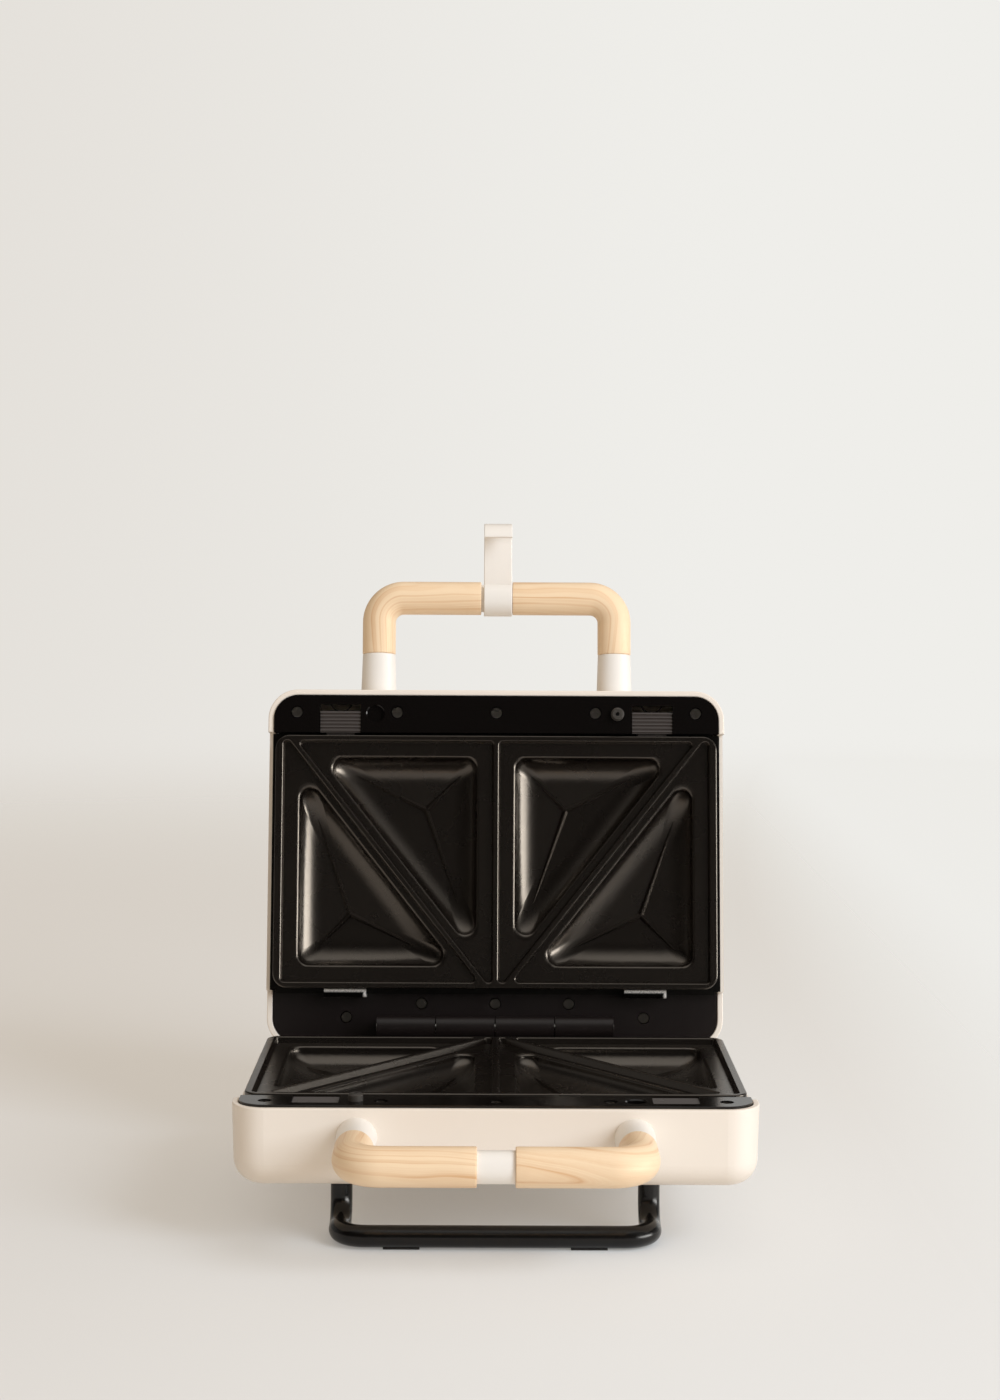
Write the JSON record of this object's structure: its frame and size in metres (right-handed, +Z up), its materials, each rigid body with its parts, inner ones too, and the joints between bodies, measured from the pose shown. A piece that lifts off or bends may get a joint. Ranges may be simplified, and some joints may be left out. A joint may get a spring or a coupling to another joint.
{
  "type": "sandwich toaster",
  "caption": "Hinged sandwich toaster with ribbed triangular cells, wooden bar handles, a swinging latch clip, sliding plate releases and bent-rod stands, shown open.",
  "frame": {"origin": "bottom centre of the bounding box, on the table, with the lid open", "axes": "+X to the right, +Y from the handles to the hinge, +Z up"},
  "size_m": [0.2298, 0.2928, 0.3161],
  "materials": {
    "casing": "satin cream moulded plastic",
    "trim": "glossy black moulded plastic",
    "button": "black plastic, ribbed",
    "rear_trim": "matte black moulded plastic",
    "hook": "black plated strip",
    "screw": "blackened steel",
    "nonstick": "cast, satin black non-stick coating",
    "wood": "pale wood, satin lacquer",
    "white": "white moulded plastic",
    "steel": "plain steel",
    "heater": "oxidised steel sheath",
    "tray": "aluminised steel sheet",
    "stand": "gloss black coated rod",
    "rubber": "black rubber",
    "ceramic": "heat-proof insulating moulding",
    "lead": "silicone insulation",
    "gland": "cream moulded plastic",
    "red_lens": "clear red lens",
    "green_lens": "clear green lens"
  },
  "bodies": {
    "base": {"base_shell": "casing", "hinge_pin": "steel", "front_stand": "stand", "rear_stand": "stand", "stand_screws": "steel", "stand_pads": "rubber", "thermostat": "ceramic", "terminal_block": "ceramic", "cord_gland": "gland", "base_wiring": "lead", "base_front_trim": "trim", "base_rear_trim": "rear_trim", "base_trim_screws": "screw", "base_locating_peg": "rear_trim", "base_handle_rod": "steel", "base_handle_ferrules": "white", "base_handle_grip_left": "wood", "base_handle_grip_right": "wood", "base_handle_sleeve": "white", "base_handle_nuts": "steel", "lower_plate": "nonstick", "lower_plate_hooks": "hook", "lower_release_springs": "steel", "lower_heat_tray": "tray", "lower_heater_tube": "heater", "lower_heater_ends": "ceramic", "lower_heater_cradles": "steel", "lower_thermal_fuse": "steel"},
    "lid": {"lid_shell": "casing", "lid_wiring": "lead", "power_lamp": "red_lens", "ready_lamp": "green_lens", "lid_front_trim": "trim", "lid_rear_trim": "rear_trim", "lid_trim_screws": "screw", "lid_locating_peg": "rear_trim", "lid_handle_rod": "steel", "lid_handle_ferrules": "white", "lid_handle_grip_left": "wood", "lid_handle_grip_right": "wood", "lid_handle_sleeve": "white", "lid_handle_nuts": "steel", "upper_plate": "nonstick", "upper_plate_hooks": "hook", "upper_release_springs": "steel", "upper_heat_tray": "tray", "upper_heater_tube": "heater", "upper_heater_ends": "ceramic", "upper_heater_cradles": "steel", "upper_thermal_fuse": "steel"},
    "latch": {"latch_clip": "white"},
    "lower_left_button": {"lower_release_left": "button"},
    "lower_right_button": {"lower_release_right": "button"},
    "upper_left_button": {"upper_release_left": "button"},
    "upper_right_button": {"upper_release_right": "button"}
  },
  "joints": [
    {"name": "lid_hinge", "type": "hinge", "parent": "base", "child": "lid", "pos_m": [0, 0.07969, 0.0661], "axis": [1, 0, 0], "range_deg": [0, 100]},
    {"name": "latch_pivot", "type": "hinge", "parent": "lid", "child": "latch", "pos_m": [0, 0.13195, 0.27784], "axis": [1, 0, 0], "range_deg": [0, 90]},
    {"name": "lower_left_release", "type": "slide", "parent": "base", "child": "lower_left_button", "axis": [0, -1, 0], "range_m": [0, 0.003], "stiffness_N_per_m": 400, "springref_m": -0.002, "deforming": ["lower_release_springs"]},
    {"name": "lower_right_release", "type": "slide", "parent": "base", "child": "lower_right_button", "axis": [0, -1, 0], "range_m": [0, 0.003], "stiffness_N_per_m": 400, "springref_m": -0.002},
    {"name": "upper_left_release", "type": "slide", "parent": "lid", "child": "upper_left_button", "axis": [0, 0.1736, 0.9848], "range_m": [0, 0.003], "stiffness_N_per_m": 400, "springref_m": -0.002, "deforming": ["upper_release_springs"]},
    {"name": "upper_right_release", "type": "slide", "parent": "lid", "child": "upper_right_button", "axis": [0, 0.1736, 0.9848], "range_m": [0, 0.003], "stiffness_N_per_m": 400, "springref_m": -0.002}
  ]
}
